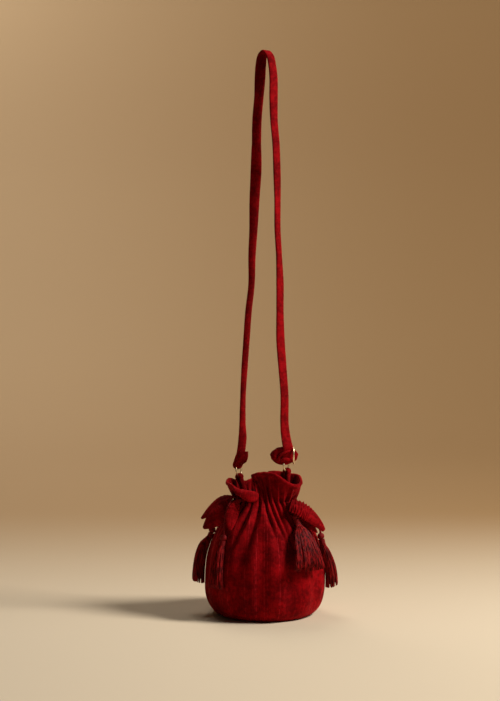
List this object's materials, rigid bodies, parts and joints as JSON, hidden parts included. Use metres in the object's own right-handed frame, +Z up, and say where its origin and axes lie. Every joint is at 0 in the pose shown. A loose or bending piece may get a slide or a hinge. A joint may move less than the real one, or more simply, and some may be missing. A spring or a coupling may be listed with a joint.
{
  "type": "drawstring pouch",
  "caption": "Round gathered velvet drawstring pouch on a flat base, with leaf petals, tassels and a long carrying strap on rings.",
  "frame": {"origin": "middle of the base panel's underside, where the pouch stands", "axes": "+Z up, -Y towards the front that the picture shows, +X to the right seen from the front"},
  "size_m": [0.1935, 0.1638, 0.7509],
  "materials": {
    "velvet": "wine red velvet with fine upright ribs",
    "lining": "plain dark red lining cloth",
    "twisted_cord": "twisted red cord",
    "tassel_thread": "loose satin embroidery threads",
    "gold": "polished pale gold"
  },
  "bodies": {
    "pouch": {"pouch_shell": "velvet", "base_panel": "velvet", "drawstring_channel": "lining", "left_drawstring": "twisted_cord", "right_drawstring": "twisted_cord", "left_tab": "velvet", "right_tab": "velvet"},
    "strap": {"carry_strap": "velvet", "strap_slider": "gold"},
    "left_ring": {"left_ring": "gold"},
    "right_ring": {"right_ring": "gold"},
    "left_pull": {"left_drawstring_knot": "twisted_cord", "petal_left_front": "velvet", "petal_left_upper": "velvet", "petal_left_lower": "velvet"},
    "right_pull": {"right_drawstring_knot": "twisted_cord", "petal_right_upper": "velvet", "petal_right_lower": "velvet"},
    "tassel_right_front": {"tassel_right_front_cord": "twisted_cord", "tassel_right_front_knot": "twisted_cord", "tassel_right_front_skirt": "tassel_thread"},
    "tassel_right_side": {"tassel_right_side_cord": "twisted_cord", "tassel_right_side_knot": "twisted_cord", "tassel_right_side_skirt": "tassel_thread"},
    "tassel_left_front": {"tassel_left_front_cord": "twisted_cord", "tassel_left_front_knot": "twisted_cord", "tassel_left_front_skirt": "tassel_thread"},
    "tassel_left_side": {"tassel_left_side_cord": "twisted_cord", "tassel_left_side_knot": "twisted_cord", "tassel_left_side_skirt": "tassel_thread"}
  },
  "joints": [
    {"name": "strap_swing", "type": "hinge", "parent": "pouch", "child": "strap", "pos_m": [-0.0355, 0.014, 0.1897], "axis": [0.9041, -0.3987, 0.1538], "range_deg": [-80, 80]},
    {"name": "left_ring_turn", "type": "hinge", "parent": "pouch", "child": "left_ring", "pos_m": [-0.0355, 0.014, 0.1897], "axis": [0.9041, -0.3987, 0.1538], "range_deg": [-80, 80]},
    {"name": "right_ring_turn", "type": "hinge", "parent": "pouch", "child": "right_ring", "pos_m": [0.028, -0.014, 0.2005], "axis": [0.9041, -0.3987, 0.1538], "range_deg": [-80, 80]},
    {"name": "left_draw", "type": "slide", "parent": "pouch", "child": "left_pull", "axis": [-0.5951, -0.8037, 0], "range_m": [0, 0.04], "deforming": ["left_drawstring"]},
    {"name": "right_draw", "type": "slide", "parent": "pouch", "child": "right_pull", "axis": [0.5951, -0.8037, 0], "range_m": [0, 0.04], "deforming": ["right_drawstring"]},
    {"name": "tassel_right_front_swing", "type": "hinge", "parent": "right_pull", "child": "tassel_right_front", "pos_m": [0.03746, -0.02717, 0.15135], "axis": [-0.9455, 0.3256, 0], "range_deg": [0, 45]},
    {"name": "tassel_right_side_swing", "type": "hinge", "parent": "right_pull", "child": "tassel_right_side", "pos_m": [0.03746, -0.02717, 0.15135], "axis": [-0.1219, -0.9925, 0], "range_deg": [0, 70]},
    {"name": "tassel_left_front_swing", "type": "hinge", "parent": "left_pull", "child": "tassel_left_front", "pos_m": [-0.03746, -0.02717, 0.15465], "axis": [-0.6691, 0.7431, 0], "range_deg": [0, 30]},
    {"name": "tassel_left_side_swing", "type": "hinge", "parent": "left_pull", "child": "tassel_left_side", "pos_m": [-0.03746, -0.02717, 0.15465], "axis": [-0.2079, 0.9781, 0], "range_deg": [0, 65]}
  ],
  "couplings": [
    {"joint": "left_ring_turn", "follows": "strap_swing", "ratio": 1},
    {"joint": "right_ring_turn", "follows": "strap_swing", "ratio": 1}
  ]
}
